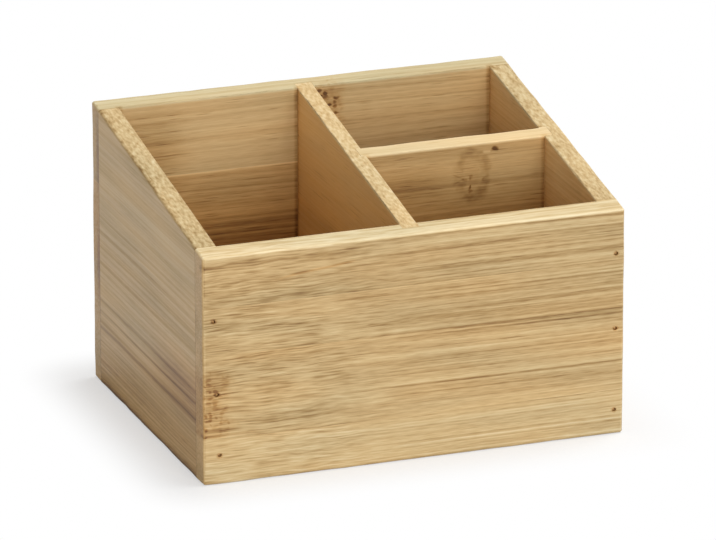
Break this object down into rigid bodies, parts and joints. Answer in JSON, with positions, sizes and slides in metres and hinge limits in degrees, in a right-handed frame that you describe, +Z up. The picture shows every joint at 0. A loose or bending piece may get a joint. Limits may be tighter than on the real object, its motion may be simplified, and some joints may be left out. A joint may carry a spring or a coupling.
{
  "type": "vanity organizer",
  "caption": "Open bamboo box with a rim that slopes down to the front, divided by a long and a cross divider into compartments for brushes, pencils and small cosmetics.",
  "frame": {"origin": "on the table, under the middle of the box", "axes": "+X along the width to the right as seen from the front, +Y towards the tall back, +Z up"},
  "size_m": [0.15, 0.115, 0.0998],
  "materials": {
    "bamboo": "fine-sanded natural bamboo, satin clear lacquer",
    "base_bamboo": "sanded natural bamboo panel, unlacquered",
    "pin_steel": "dull dark steel wire, set below the surface"
  },
  "bodies": {
    "root": {"front_board": "bamboo", "back_board": "bamboo", "left_side_board": "bamboo", "right_side_board": "bamboo", "base_board": "base_bamboo", "long_divider": "bamboo", "cross_divider": "bamboo", "front_left_pins": "pin_steel", "front_right_pins": "pin_steel", "back_left_pins": "pin_steel", "back_right_pins": "pin_steel"}
  },
  "joints": []
}
